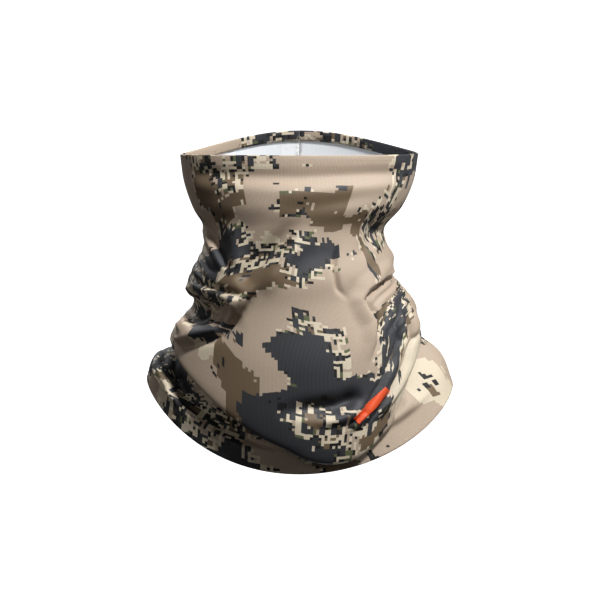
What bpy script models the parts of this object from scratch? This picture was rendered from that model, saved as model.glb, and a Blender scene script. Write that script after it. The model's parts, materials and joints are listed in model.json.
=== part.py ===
"""Neck gaiter: a printed knit panel rolled into a tube, as it drapes when worn.

One panel of jersey meets itself at a flat seam down the back, both ends are turned in as hems,
and every row of sewing thread, the care label and the accent bar is a piece of its own.
Metres, +Z up, front towards -Y, origin on the neck's axis at its narrowest height.
"""

import math

import bpy
import numpy as np
from mathutils import Matrix, Vector
from mathutils.bvhtree import BVHTree

# Driving dimensions of the drape, as worn
WIDTH = 0.250  # hem, side to side
DEPTH = 0.170  # cowl, front to back
HEIGHT = 0.266  # lowest point of the hem to the back of the top edge

# The knit panel
CLOTH = 0.0008  # thickness of the knit
HEM_DEPTH = 0.008  # cloth turned in at each end
HEM_GAP = 0.0006  # between a hem's two layers
SEAM_GAP = 0.0006  # between the panel's two edges at the back

# What is sewn or bonded to it
THREAD = 0.0005  # diameter of every sewing thread
CLEARANCE = 0.0003  # between pieces that touch
ROW_SPACING = 0.0040  # between a hem's two needle rows
HEM_ZIGZAGS = 132  # crossings of a hem's looper thread, round the tube
SEAM_WIDTH = 0.0050  # between the back seam's two needle rows
LABEL_LENGTH = 0.030  # stitched edge to folded end
LABEL_HEIGHT = 0.020
LABEL_RIBBON = 0.0003  # thickness of the label's ribbon
LABEL_GAP = 0.0005  # between the label's two layers
LABEL_DOWN = 0.034  # from the top edge to the label's upper side, along the cloth
LABEL_REST = math.radians(16)  # the label's rest angle off the wall
BAR_LENGTH = 0.036  # accent bar
BAR_WIDTH = 0.007
BAR_FILM = 0.0004  # thickness of the accent bar's film
BAR_ANGLE = math.radians(33.5)  # place round the tube, from the front towards the right side
BAR_SHARE = 0.69  # place down the cloth, as a share of its length there
BAR_TILT = math.radians(30)  # right end up

# Facets
COLUMNS = 44  # round the tube
STRIPS = 30  # from top edge to bottom edge
FOLD_STEPS = 4  # round a hem's turned edge
FACING_STRIPS = 2  # down a hem's inner layer
BAR_FACETS = 20  # along the accent bar

# The drape's rings from the top edge down, in millimetres on a gaiter of NOMINAL size.
# First the reach left, right, front and back of the neck's axis, then the heights at eight
# compass points, from the front round by the right side, the back and the left side.
NOMINAL = (0.250, 0.170, 0.266)
RINGS = {
    "top edge": ((-96, 98, -46, 62), (59, 59, 60, 68, 78, 67, 59, 59)),
    "band": ((-93, 94, -51, 63), (42, 41, 38, 44, 50, 43, 38, 41)),
    "chin": ((-85, 84, -60, 60), (22, 20, 17, 19, 24, 19, 16, 20)),
    "neck": ((-76, 70, -60, 57), (4, 2, 0, 0, 2, 0, 0, 2)),
    "throat": ((-77, 72, -63, 60), (-15, -13, -12, -12, -12, -14, -15, -15)),
    "collar ridge": ((-90, 78, -72, 70), (-38, -32, -23, -28, -34, -40, -44, -42)),
    "collar crease": ((-86, 76, -75, 62), (-58, -48, -35, -42, -46, -54, -60, -60)),
    "cowl ridge": ((-98, 96, -88, 76), (-108, -92, -62, -72, -78, -76, -78, -94)),
    "cowl lip": ((-104, 96, -93, 76), (-168, -148, -73, -86, -97, -92, -88, -124)),
    "cowl tuck": ((-95, 90, -77, 67), (-150, -135, -83, -94, -107, -96, -96, -114)),
    "skirt ridge": ((-118, 118, -83, 76), (-170, -151, -106, -116, -130, -116, -106, -140)),
    "hem": ((-124, 127, -80, 78), (-187, -162, -127, -134, -150, -136, -122, -161)),
}


def clear_scene():
    for obj in list(bpy.data.objects):
        bpy.data.objects.remove(obj, do_unlink=True)


def around(values, angle):
    """Smooth periodic curve through values at equal steps from the front, read at angles."""
    count = len(values)
    spectrum = np.fft.rfft(values) / count
    turns = np.arange(len(spectrum))
    weight = np.where((turns == 0) | (turns == count / 2), 1.0, 2.0)
    waves = np.exp(1j * np.multiply.outer(angle, turns))
    return (waves * spectrum * weight).real.sum(axis=-1)


def ring_points(ring, angle):
    """A ring's points at angles from the front, round by the right side."""
    (left, right, front, back), heights = ring
    x = (left + right) / 2 + (right - left) / 2 * np.sin(angle)
    y = (front + back) / 2 - (back - front) / 2 * np.cos(angle)
    z = around(heights, angle)
    scale = [size / nominal for size, nominal in zip((WIDTH, DEPTH, HEIGHT), NOMINAL)]
    return np.stack([x, y, z], axis=-1) * scale / 1000


def meridian(angle):
    """The cloth's middle line at one angle, top edge to hem: fine points and their lengths."""
    knots = np.array([ring_points(ring, angle) for ring in RINGS.values()])
    reach = np.concatenate([[0], np.cumsum(np.linalg.norm(np.diff(knots, axis=0), axis=1) ** 0.5)])
    slopes = np.gradient(knots, reach, axis=0)
    fine = np.linspace(0, reach[-1], 40 * len(knots))
    span = np.clip(np.searchsorted(reach, fine, side="right") - 1, 0, len(knots) - 2)
    width = (reach[span + 1] - reach[span])[:, None]
    t = (fine - reach[span])[:, None] / width
    points = (
        knots[span] * (2 * t**3 - 3 * t**2 + 1)
        + knots[span + 1] * (3 * t**2 - 2 * t**3)
        + slopes[span] * width * (t**3 - 2 * t**2 + t)
        + slopes[span + 1] * width * (t**3 - t**2)
    )
    steps = np.linalg.norm(np.diff(points, axis=0), axis=1)
    return points, np.concatenate([[0], np.cumsum(steps)])


def read_at(points, lengths, wanted):
    """Points at the wanted lengths along a line, carried straight on past its ends."""
    start, end = points[1] - points[0], points[-1] - points[-2]
    inside = np.stack([np.interp(wanted, lengths, points[:, k]) for k in range(3)], axis=-1)
    before = np.minimum(wanted, 0)[:, None] * start / np.linalg.norm(start)
    after = np.maximum(wanted - lengths[-1], 0)[:, None] * end / np.linalg.norm(end)
    return inside + before + after


def column_of_cloth(angle, shares):
    """One column of the cloth's middle surface, and its outward normals."""
    points, lengths = meridian(angle)
    wanted = np.asarray(shares) * lengths[-1]
    nudge, turn = 0.0005, 0.005
    down = read_at(points, lengths, wanted + nudge) - read_at(points, lengths, wanted - nudge)
    ahead, behind = meridian(angle + turn), meridian(angle - turn)
    side = read_at(*ahead, np.asarray(shares) * ahead[1][-1])
    side = side - read_at(*behind, np.asarray(shares) * behind[1][-1])
    normals = np.cross(down, side)
    return read_at(points, lengths, wanted), normals / np.linalg.norm(normals, axis=1)[:, None]


def strip_shares():
    """Rows of the cloth between its two turned edges, as shares of the meridian."""
    return np.linspace(0, 1, STRIPS + 1)


def hem_turn(point, away, outward):
    """A turned edge and its inner layer, from the cloth's end inwards, seen along one column.

    away points off the end of the cloth, outward is its normal. A half circle carries the cloth
    round to the inside, and the inner layer runs back beside it.
    """
    radius = (CLOTH + HEM_GAP) / 2
    turn = np.linspace(0, math.pi, FOLD_STEPS + 1)[1:, None]
    fold = point - outward * radius * (1 - np.cos(turn)) + away * radius * np.sin(turn)
    run = np.linspace(0, HEM_DEPTH, FACING_STRIPS + 1)[1:, None]
    return np.concatenate([fold, fold[-1] - away * run])


def panel_column(angle):
    """The whole panel's middle line at one angle: inner layer, top fold, wall, bottom fold, layer."""
    wall, normals = column_of_cloth(angle, strip_shares())
    off_top, off_bottom = wall[0] - wall[1], wall[-1] - wall[-2]
    top = hem_turn(wall[0], off_top / np.linalg.norm(off_top), normals[0])
    bottom = hem_turn(wall[-1], off_bottom / np.linalg.norm(off_bottom), normals[-1])
    return np.concatenate([top[::-1], wall, bottom])


def seam_turn():
    """Half the angle that the back seam's gap takes out of the tube."""
    half_width = (RINGS["neck"][0][1] - RINGS["neck"][0][0]) / 2000 * WIDTH / NOMINAL[0]
    return SEAM_GAP / 2 / half_width


def column_angles():
    """Angles of the panel's columns from the front, from one edge at the back seam to the other."""
    return np.linspace(-math.pi + seam_turn(), math.pi - seam_turn(), COLUMNS + 1)


def paint(obj, name, colour, roughness):
    """Gives the object a plain material of its own."""
    material = bpy.data.materials.new(name)
    material.use_nodes = True
    shader = material.node_tree.nodes["Principled BSDF"]
    shader.inputs["Base Color"].default_value = (*colour, 1)
    shader.inputs["Roughness"].default_value = roughness
    shader.inputs["Metallic"].default_value = 0.0
    obj.data.materials.append(material)


def add_grid(name, grid, collection, thickness):
    """A sheet through a grid of points, given its thickness by Solidify."""
    rows, columns = grid.shape[:2]
    corner = np.arange(rows * columns).reshape(rows, columns)
    faces = np.stack(
        [corner[:-1, :-1], corner[1:, :-1], corner[1:, 1:], corner[:-1, 1:]], axis=-1
    ).reshape(-1, 4)
    mesh = bpy.data.meshes.new(name)
    mesh.from_pydata(grid.reshape(-1, 3).tolist(), [], faces.tolist())
    mesh.shade_smooth()
    obj = bpy.data.objects.new(name, mesh)
    collection.objects.link(obj)
    solidify = obj.modifiers.new("thickness", "SOLIDIFY")
    solidify.thickness = thickness
    solidify.offset = 0
    return obj


def add_thread(name, points, closed, collection):
    """A sewing thread along points, as a round bevelled curve."""
    curve = bpy.data.curves.new(name, "CURVE")
    curve.dimensions = "3D"
    curve.bevel_depth = THREAD / 2
    curve.bevel_resolution = 0
    curve.use_fill_caps = not closed
    spline = curve.splines.new("POLY")
    spline.points.add(len(points) - 1)
    spline.points.foreach_set("co", np.column_stack([points, np.ones(len(points))]).ravel())
    spline.use_cyclic_u = closed
    obj = bpy.data.objects.new(name, curve)
    collection.objects.link(obj)
    return obj


def wall_columns():
    """Every column's wall points and normals, from edge to edge."""
    return [column_of_cloth(angle, strip_shares()) for angle in column_angles()]


def length_down(wall):
    """Lengths from the top edge to each of a column's points."""
    return np.concatenate([[0], np.cumsum(np.linalg.norm(np.diff(wall, axis=0), axis=1))])


def cloth_point(columns, turn, down, lift):
    """A point lift outside the faceted cloth's middle.

    turn counts columns from the seam's left edge, and down is metres from the top edge, or from
    the bottom edge if it is negative.
    """
    index = min(int(turn), len(columns) - 2)
    ends = []
    for wall, normals in (columns[index], columns[index + 1]):
        lengths = length_down(wall)
        wanted = down if down >= 0 else lengths[-1] + down
        ends.append([[np.interp(wanted, lengths, part[:, k]) for k in range(3)] for part in (wall, normals)])
    low, high = np.array(ends)
    point, normal = low * (1 - turn + index) + high * (turn - index)
    return point + lift * normal / np.linalg.norm(normal)


def seam_point(columns, side, down, lift):
    """A point near the back seam: side is metres from its middle, towards the right if positive."""
    edge, inner = (columns[-1], columns[-2]) if side > 0 else (columns[0], columns[1])
    share = abs(side) / np.linalg.norm(edge[0][0] - inner[0][0])
    turn = len(columns) - 1 - share if side > 0 else share
    return cloth_point(columns, turn, down, lift)


def add_panel(collection):
    grid = np.stack([panel_column(angle) for angle in column_angles()], axis=1)
    panel = add_grid("knit_panel", grid, collection, CLOTH)
    paint(panel, "printed jersey", (0.47, 0.40, 0.33), 0.6)
    return panel


def add_hem_threads(collection, columns, hem, end):
    """Two needle rows on the outside, and one looper thread zigzagging behind the hem.

    end is +1 at the top edge and -1 at the bottom edge, and turns every distance round.
    """
    outside = CLOTH / 2 + CLEARANCE + THREAD / 2
    inside = -(CLOTH * 3 / 2 + HEM_GAP + CLEARANCE + THREAD / 2)
    inner_row = HEM_DEPTH - THREAD
    rows = {"outer": inner_row - ROW_SPACING, "inner": inner_row}
    for place, down in rows.items():
        ring = [cloth_point(columns, turn, end * down, outside) for turn in range(COLUMNS + 1)]
        ring[0] = (ring[0] + ring.pop()) / 2
        thread = add_thread(f"{hem}_hem_needle_thread_{place}", np.array(ring), True, collection)
        paint(thread, thread.name, (0.42, 0.36, 0.30), 0.7)
    downs = list(rows.values())
    step = COLUMNS / HEM_ZIGZAGS
    zigzag = [cloth_point(columns, k * step, end * downs[k % 2], inside) for k in range(HEM_ZIGZAGS)]
    looper = add_thread(f"{hem}_hem_looper_thread", np.array(zigzag), True, collection)
    paint(looper, looper.name, (0.80, 0.79, 0.76), 0.7)


def add_seam_threads(collection, columns):
    """The flat seam down the back: two needle rows, an outer cover thread and an inner looper.

    The zigzags cross once in every strip of the cloth, between the two hems.
    """
    lengths = length_down(columns[0][0])
    clear = 2 * HEM_DEPTH
    places = lengths[(lengths > clear) & (lengths < lengths[-1] - clear)]
    lift = CLOTH / 2 + CLEARANCE + THREAD / 2
    over = THREAD + CLEARANCE
    half = SEAM_WIDTH / 2
    for place, side in (("left", -half), ("right", half)):
        line = [seam_point(columns, side, down, lift) for down in places]
        thread = add_thread(f"back_seam_needle_thread_{place}", np.array(line), False, collection)
        paint(thread, thread.name, (0.42, 0.36, 0.30), 0.7)
    for name, height in (("cover", lift + over), ("looper", -lift)):
        sides = half * (-1.0) ** np.arange(len(places))
        line = [seam_point(columns, side, down, height) for side, down in zip(sides, places)]
        thread = add_thread(f"back_seam_{name}_thread", np.array(line), False, collection)
        paint(thread, thread.name, (0.62, 0.59, 0.54), 0.7)


def add_label(collection, columns):
    """The care label, a folded ribbon that flips about its stitched edge, and its tack thread.

    The object's origin is the middle of the hinge line, its Z axis runs up that line and its X axis
    towards the folded end.
    """
    side = SEAM_WIDTH / 2 + THREAD + CLEARANCE
    downs = np.linspace(LABEL_DOWN, LABEL_DOWN + LABEL_HEIGHT, 5)
    tack_lift = CLOTH / 2 + CLEARANCE + THREAD / 2
    tack = np.array([seam_point(columns, side, down, -tack_lift) for down in downs])
    thread = add_thread("care_label_tack_thread", tack, False, collection)
    paint(thread, thread.name, (0.85, 0.84, 0.81), 0.7)

    half_stack = LABEL_GAP / 2 + LABEL_RIBBON
    radius = (LABEL_GAP + LABEL_RIBBON) / 2
    turn = np.linspace(0, math.pi, 2 * FOLD_STEPS + 1)
    profile_x = np.concatenate([[0], LABEL_LENGTH - half_stack + radius * np.sin(turn), [0]])
    profile_y = np.concatenate([[radius], radius * np.cos(turn), [-radius]])
    grid = np.empty((2, len(profile_x), 3))
    grid[..., 0], grid[..., 1] = profile_x, profile_y
    grid[..., 2] = np.array([LABEL_HEIGHT / 2, -LABEL_HEIGHT / 2])[:, None]
    label = add_grid("care_label", grid, collection, LABEL_RIBBON)

    up = Vector(tack[0] - tack[-1]).normalized()
    inward = Vector((0, -1, 0))
    inward = (inward - up * inward.dot(up)).normalized()
    wall = up.cross(inward)
    out = wall * math.cos(LABEL_REST) + inward * math.sin(LABEL_REST)
    turned = Matrix((out, up.cross(out), up)).transposed()
    proudest = max((tack - tack[2]) @ np.array(inward))
    reach = proudest + THREAD / 2 + CLEARANCE + half_stack
    label.matrix_world = Matrix.Translation(Vector(tack[2]) + inward * reach) @ turned.to_4x4()
    paint(label, "care label", (0.88, 0.88, 0.86), 0.5)


def add_accent_bar(collection, panel):
    """A plain slanting bar of film, bonded to the outside of the cloth at the right front."""
    graph = bpy.context.evaluated_depsgraph_get()
    tree = BVHTree.FromObject(panel, graph)
    shares = np.array([BAR_SHARE - 0.001, BAR_SHARE, BAR_SHARE + 0.001])
    middle, normals = column_of_cloth(BAR_ANGLE, shares)
    down = middle[2] - middle[0]
    down /= np.linalg.norm(down)
    right = np.cross(normals[1], down)
    along = right * math.cos(BAR_TILT) - down * math.sin(BAR_TILT)
    across = np.cross(normals[1], along)
    lift = CLEARANCE + BAR_FILM / 2
    lengths = np.linspace(-BAR_LENGTH / 2, BAR_LENGTH / 2, BAR_FACETS + 1)
    widths = np.linspace(BAR_WIDTH / 2, -BAR_WIDTH / 2, BAR_FACETS // 4 + 1)
    grid = np.empty((len(widths), len(lengths), 3))
    for row, width in enumerate(widths):
        for column, length in enumerate(lengths):
            above = middle[1] + along * length + across * width + normals[1] * BAR_LENGTH / 2
            hit, face_normal, _, _ = tree.ray_cast(Vector(above), Vector(-normals[1]))
            grid[row, column] = hit + face_normal * lift
    bar = add_grid("accent_bar", grid, collection, BAR_FILM)
    paint(bar, "accent film", (0.75, 0.17, 0.05), 0.45)


def build():
    clear_scene()
    gaiter = bpy.data.collections.new("neck_gaiter")
    bpy.context.scene.collection.children.link(gaiter)
    columns = wall_columns()
    panel = add_panel(gaiter)
    add_hem_threads(gaiter, columns, "top", 1)
    add_hem_threads(gaiter, columns, "bottom", -1)
    add_seam_threads(gaiter, columns)
    add_label(gaiter, columns)
    add_accent_bar(gaiter, panel)


build()
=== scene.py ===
# Neck gaiter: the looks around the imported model. Metres, +Z up, front towards -Y.
import json
import math

import bpy
import numpy as np
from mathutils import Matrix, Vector
from mathutils.bvhtree import BVHTree


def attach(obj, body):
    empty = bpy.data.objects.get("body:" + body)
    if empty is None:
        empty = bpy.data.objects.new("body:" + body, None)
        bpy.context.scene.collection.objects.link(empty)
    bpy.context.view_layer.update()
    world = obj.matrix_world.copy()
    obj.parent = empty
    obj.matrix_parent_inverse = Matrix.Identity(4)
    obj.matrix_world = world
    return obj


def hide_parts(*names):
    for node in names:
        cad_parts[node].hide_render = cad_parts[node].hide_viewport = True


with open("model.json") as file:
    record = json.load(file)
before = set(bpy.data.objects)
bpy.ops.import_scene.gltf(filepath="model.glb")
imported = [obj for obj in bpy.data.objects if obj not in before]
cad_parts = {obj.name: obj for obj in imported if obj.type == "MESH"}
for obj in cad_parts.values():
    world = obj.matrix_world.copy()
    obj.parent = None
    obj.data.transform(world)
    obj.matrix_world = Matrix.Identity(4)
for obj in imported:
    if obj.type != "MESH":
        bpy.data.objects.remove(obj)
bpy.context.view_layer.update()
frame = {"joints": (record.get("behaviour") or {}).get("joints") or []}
millimetre = 0.001


# The cloth: one panel of thin jersey, draped as a tube with both ends turned in.
cloth = {
    "thickness": 0.65 * millimetre,
    "columns": 264,  # round the tube, from one edge of the panel to the other
    "wallRows": 164,  # from the top fold to the bottom fold
    "foldRows": 6,  # round each hem's turned edge
    "facingRows": 4,  # down each hem's inner layer
    "hemDepth": 8 * millimetre,
    "hemGap": 0.5 * millimetre,  # between a hem's two layers
    "seamGap": 0.08 * millimetre,  # between the panel's edges at the back
    "frontDensity": 0.30,  # how much closer the columns are at the front than at the back
    "backReach": 0.08,  # from the neck's axis to the seam
    "flatLength": (0.275, 0.035),  # the cloth's length, and how much more at the front than at the sides
    "flatGirth": (0.486, 0.150),  # the cloth's width at the top, and how much more at the bottom
    "flareStart": 0.35,  # share of the way down where it begins to widen
}

# Rings of the drape from the top edge down, in millimetres. First the reach left, right, front
# and back of the neck's axis, then the heights at eight compass points, from the front round by
# the right side, the back and the left side.
rings = {
    "topEdge": ((-96, 98, -46, 62), (59, 59, 60, 68, 78, 67, 59, 59)),
    "band": ((-93, 94, -51, 63), (42, 41, 38, 44, 50, 43, 38, 41)),
    "chin": ((-85, 84, -60, 60), (22, 20, 17, 19, 24, 19, 16, 20)),
    "neck": ((-76, 70, -60, 57), (4, 2, 0, 0, 2, 0, 0, 2)),
    "throat": ((-77, 72, -63, 60), (-15, -13, -12, -12, -12, -14, -15, -15)),
    "collarRidge": ((-90, 78, -72, 70), (-38, -32, -23, -28, -34, -40, -44, -42)),
    "collarCrease": ((-86, 76, -75, 62), (-58, -48, -35, -42, -46, -54, -60, -60)),
    "cowlRidge": ((-98, 96, -88, 76), (-108, -92, -62, -72, -78, -76, -78, -94)),
    "cowlLip": ((-104, 97, -93, 76), (-170, -156, -76, -86, -97, -92, -88, -124)),
    "lipInner": ((-100, 93, -87, 73), (-167, -153, -74, -84, -95, -90, -86, -121)),
    "cowlTuck": ((-95, 90, -77, 67), (-150, -138, -83, -94, -107, -96, -96, -114)),
    "skirtRidge": ((-118, 118, -79, 76), (-171, -156, -106, -116, -130, -116, -106, -140)),
    "hem": ((-124, 127, -80, 78), (-187, -163, -127, -134, -150, -136, -122, -161)),
}


def around(values, angle):
    # Sum of cosines through eight values at equal steps from the front, read at any angle.
    count = len(values)
    spectrum = np.fft.rfft(values) / count
    turns = np.arange(len(spectrum))
    weight = np.where((turns == 0) | (turns == count / 2), 1.0, 2.0)
    return (np.exp(1j * np.multiply.outer(angle, turns)) * spectrum * weight).real.sum(axis=-1)


def ringPoints(ring, angle):
    # x = middle + reach * sin(angle), y = middle - reach * cos(angle), z from the eight heights.
    (left, right, front, back), heights = ring
    x = (left + right) / 2 + (right - left) / 2 * np.sin(angle)
    y = (front + back) / 2 - (back - front) / 2 * np.cos(angle)
    return np.stack([x, y, around(heights, angle)], axis=-1) * millimetre


def drape(angles, shares):
    # Each column is a cubic curve through its ring points, read at equal shares of its length.
    knots = np.stack([ringPoints(ring, angles) for ring in rings.values()])
    steps = np.linalg.norm(np.diff(knots, axis=0), axis=2) ** 0.5
    reach = np.concatenate([np.zeros((1, len(angles))), np.cumsum(steps, axis=0)])
    wall = np.empty((len(shares), len(angles), 3))
    for column in range(len(angles)):
        at, points = reach[:, column], knots[:, column]
        slopes = np.gradient(points, at, axis=0)
        fine = np.linspace(0, at[-1], 60 * len(at))
        span = np.clip(np.searchsorted(at, fine, side="right") - 1, 0, len(at) - 2)
        width = (at[span + 1] - at[span])[:, None]
        t = (fine - at[span])[:, None] / width
        line = (
            points[span] * (2 * t**3 - 3 * t**2 + 1)
            + points[span + 1] * (3 * t**2 - 2 * t**3)
            + slopes[span] * width * (t**3 - 2 * t**2 + t)
            + slopes[span + 1] * width * (t**3 - t**2)
        )
        lengths = np.concatenate([[0], np.cumsum(np.linalg.norm(np.diff(line, axis=0), axis=1))])
        for axis in range(3):
            wall[:, column, axis] = np.interp(shares * lengths[-1], lengths, line[:, axis])
    return wall


def gridNormals(grid):
    # Cross product of the steps down and round the grid, pointing out of the tube.
    down = np.gradient(grid, axis=0)
    sideways = np.gradient(grid, axis=1)
    normals = np.cross(down, sideways)
    return normals / np.linalg.norm(normals, axis=-1, keepdims=True)


def ease(value, low, high):
    # 0 below low, 1 above high, and a smooth S between.
    t = np.clip((value - low) / (high - low), 0, 1)
    return t * t * (3 - 2 * t)


def pathDistance(x, z, path):
    # Signed distance to a broken line seen from the front, and the share of its length there.
    # The distance is positive to the left of the line's direction of travel.
    points = np.array(path, float)
    starts, steps = points[:-1], np.diff(points, axis=0)
    lengths = np.linalg.norm(steps, axis=1)
    before = np.concatenate([[0], np.cumsum(lengths)[:-1]])
    dx = x[..., None] - starts[:, 0]
    dz = z[..., None] - starts[:, 1]
    t = np.clip((dx * steps[:, 0] + dz * steps[:, 1]) / lengths**2, 0, 1)
    gapX = dx - t * steps[:, 0]
    gapZ = dz - t * steps[:, 1]
    gaps = np.hypot(gapX, gapZ)
    nearest = gaps.argmin(axis=-1)[..., None]
    side = np.sign(steps[:, 0] * dz - steps[:, 1] * dx)
    distance = np.take_along_axis(gaps * side, nearest, -1)[..., 0]
    along = np.take_along_axis((before + t * lengths) / lengths.sum(), nearest, -1)[..., 0]
    return distance, along


# Folds that the rings don't carry, drawn on the front, or on the back where behind is set, as
# broken lines of (x, z) in millimetres.
# A crease sinks or lifts the cloth by height over width to both sides of its line. A pleat lifts
# it towards its line over width on the left of its travel, and lets it drop on the right over
# drop, into a cleft that is a share of the height deep. tapers are the shares of the line over
# which the fold fades in and out, and layer is the range of shares down the cloth that it shapes.
creases = {
    "bandDent": {
        "path": [(-92, 46), (-50, 44), (0, 43), (50, 45), (92, 46)],
        "height": -2.2, "width": 5, "tapers": (0.1, 0.1), "layer": (0, 0.25),
    },
    "bandSwell": {
        "path": [(-92, 35), (-50, 33), (0, 32), (50, 34), (92, 36)],
        "height": 1.6, "width": 6, "tapers": (0.1, 0.1), "layer": (0, 0.3),
    },
    "chinDent": {
        "path": [(-30, 22), (0, 19), (40, 24), (70, 30)],
        "height": -1.8, "width": 6, "tapers": (0.4, 0.4), "layer": (0.05, 0.35),
    },
    "throatValley": {
        "path": [(4, 16), (-12, -2), (-32, -22), (-48, -42)],
        "height": -6.5, "width": 6.5, "tapers": (0.6, 0.15), "layer": (0.1, 0.5),
    },
    "throatRidge": {
        "path": [(14, 4), (-2, -14), (-16, -30), (-30, -48)],
        "height": 4.0, "width": 7, "tapers": (0.4, 0.3), "layer": (0.1, 0.5),
    },
    "cheekRidge": {
        "path": [(-56, 12), (-50, -6), (-48, -20), (-54, -34)],
        "height": 3.5, "width": 7, "tapers": (0.4, 0.3), "layer": (0.1, 0.5),
    },
    "centreCrease": {
        "path": [(31, -8), (28, -26), (31, -44), (41, -54)],
        "height": -3.2, "width": 1.9, "tapers": (0.3, 0.4), "layer": (0.1, 0.6),
    },
    "rightDent": {
        "path": [(66, 8), (56, -8), (46, -22)],
        "height": -3.0, "width": 6, "tapers": (0.3, 0.4), "layer": (0.1, 0.5),
    },
    "lapHollow": {
        "path": [(-20, -138), (6, -134), (30, -132), (52, -124)],
        "height": -6.5, "width": 6, "tapers": (0.5, 0.2), "layer": (0.4, 0.7),
    },
    "lapRoll": {
        "path": [(2, -152), (24, -148), (42, -139), (56, -126)],
        "height": 4.0, "width": 5, "tapers": (0.4, 0.3), "layer": (0.4, 0.7),
    },
    "leftRecess": {
        "path": [(-96, -62), (-78, -66), (-62, -66), (-46, -58)],
        "height": -11.0, "width": 10, "tapers": (0.1, 0.3), "layer": (0.2, 0.62),
    },
    "leftRib": {
        "path": [(-90, -44), (-86, -60), (-88, -76), (-96, -86)],
        "height": 5.0, "width": 3.5, "tapers": (0.1, 0.2), "layer": (0.2, 0.66),
    },
    "lipRim": {
        "path": [(-98, -90), (-90, -110), (-74, -126), (-46, -146)],
        "height": 1.2, "width": 2.4, "tapers": (0.2, 0.5), "layer": (0.4, 0.7),
    },
    "skirtCrease": {
        "path": [(96, -144), (84, -154), (68, -166)],
        "height": -4.5, "width": 3.0, "tapers": (0.3, 0.4), "layer": (0.78, 0.94),
    },
    "skirtRoll": {
        "path": [(94, -128), (84, -142), (62, -160)],
        "height": 4.5, "width": 6, "tapers": (0.3, 0.4), "layer": (0.78, 0.94),
    },
    "leftSkirtRoll": {
        "path": [(-112, -96), (-112, -118), (-96, -140), (-66, -160)],
        "height": 4.0, "width": 5, "tapers": (0.2, 0.4), "layer": (0.78, 0.94),
    },
    "leftSkirtHollow": {
        "path": [(-104, -104), (-102, -120), (-84, -142), (-54, -160)],
        "height": -5.0, "width": 5, "tapers": (0.2, 0.4), "layer": (0.78, 0.94),
    },
    "underLip": {
        "path": [(-112, -88), (-106, -104), (-88, -128), (-60, -150), (-30, -168), (8, -181)],
        "height": -9.0, "width": 9, "tapers": (0.1, 0.3), "layer": (0.77, 0.94),
    },
    "napeFold": {
        "path": [(74, -14), (44, -26), (4, -31), (-38, -25), (-70, -10)],
        "height": 3.4, "width": 6, "tapers": (0.25, 0.4), "layer": (0.2, 0.6), "behind": True,
    },
    "napeHollow": {
        "path": [(66, -2), (30, -14), (-16, -18), (-56, -8)],
        "height": -3.0, "width": 6, "tapers": (0.3, 0.3), "layer": (0.2, 0.6), "behind": True,
    },
    "backRoll": {
        "path": [(-86, -58), (-52, -74), (-8, -80), (24, -74)],
        "height": 3.2, "width": 5, "tapers": (0.15, 0.5), "layer": (0.3, 0.75), "behind": True,
    },
    "backValley": {
        "path": [(84, -70), (52, -84), (10, -92), (-30, -90)],
        "height": -3.4, "width": 5, "tapers": (0.15, 0.5), "layer": (0.3, 0.8), "behind": True,
    },
    "backSkirtCrease": {
        "path": [(-60, -100), (-48, -118), (-50, -134)],
        "height": -3.0, "width": 4, "tapers": (0.4, 0.5), "layer": (0.6, 0.95), "behind": True,
    },
    "backSkirtRoll": {
        "path": [(44, -104), (58, -118), (62, -136)],
        "height": 3.0, "width": 6, "tapers": (0.4, 0.4), "layer": (0.6, 0.95), "behind": True,
    },
    "leftSkirtEdge": {
        "path": [(-120, -120), (-108, -142), (-84, -160)],
        "height": -3.0, "width": 4, "tapers": (0.3, 0.4), "layer": (0.82, 0.94),
    },
}

pleats = {
    "skirtPleat": {
        "path": [(54, -176), (70, -168), (84, -157), (98, -142), (110, -124)],
        "height": 5.0, "width": 12, "drop": 2.4, "cleft": 0.6, "tapers": (0.3, 0.5),
        "layer": (0.8, 0.94),
    },
    "lobeEdge": {
        "path": [(-98, -92), (-80, -84), (-64, -78), (-50, -64), (-40, -50), (-30, -38)],
        "height": 7.0, "width": 20, "drop": 2.6, "cleft": 0.5, "tapers": (0.05, 0.35),
        "layer": (0.3, 0.7),
    },
    "collarEdge": {
        "path": [(-36, -52), (-50, -51), (-70, -47), (-92, -42)],
        "height": 4.5, "width": 12, "drop": 2.4, "cleft": 0.8, "tapers": (0.3, 0.45),
        "layer": (0.15, 0.6),
    },
    "notchEdge": {
        "path": [(-56, -34), (-63, -20), (-72, -4), (-78, 6)],
        "height": 4.5, "width": 9, "drop": 2.2, "cleft": 0.5, "tapers": (0.3, 0.2),
        "layer": (0.1, 0.45),
    },
    "collarFold": {
        "path": [
            (53, -104), (60, -86), (60, -70), (53, -60),
            (50, -53), (55, -45), (66, -38), (82, -31),
        ],
        "height": 4.0, "width": 13, "drop": 2.2, "cleft": 0.7, "tapers": (0.35, 0.1),
        "layer": (0.15, 0.66),
    },
}


# Soft rolls side by side, parted by clefts. They run along the path, on the left of its travel.
# widths are a roll's at the path's start and from its middle on, count is how many lie side by
# side, and height is a share of the width.
bundles = {
    "rightRolls": {
        "path": [
            (24, -181), (50, -174), (72, -158), (90, -136),
            (104, -112), (111, -88), (108, -64), (98, -40),
        ],
        "widths": (8.5, 11), "count": 3.4, "height": 0.72, "tapers": (0.04, 0.22),
        "layer": (0.25, 0.72),
    },
    "leftRolls": {
        "path": [
            (-92, -40), (-104, -72), (-117, -92), (-122, -116),
            (-108, -140), (-78, -160), (-40, -176),
        ],
        "widths": (10, 8), "count": 3.0, "height": 0.5, "tapers": (0.3, 0.3), "layer": (0.78, 0.94),
    },
}


def lineShare(along, tapers):
    # 1 along a fold's line, fading to 0 at both of its ends.
    start, end = tapers
    return ease(along, 0, start) * ease(1 - along, 0, end)


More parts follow.
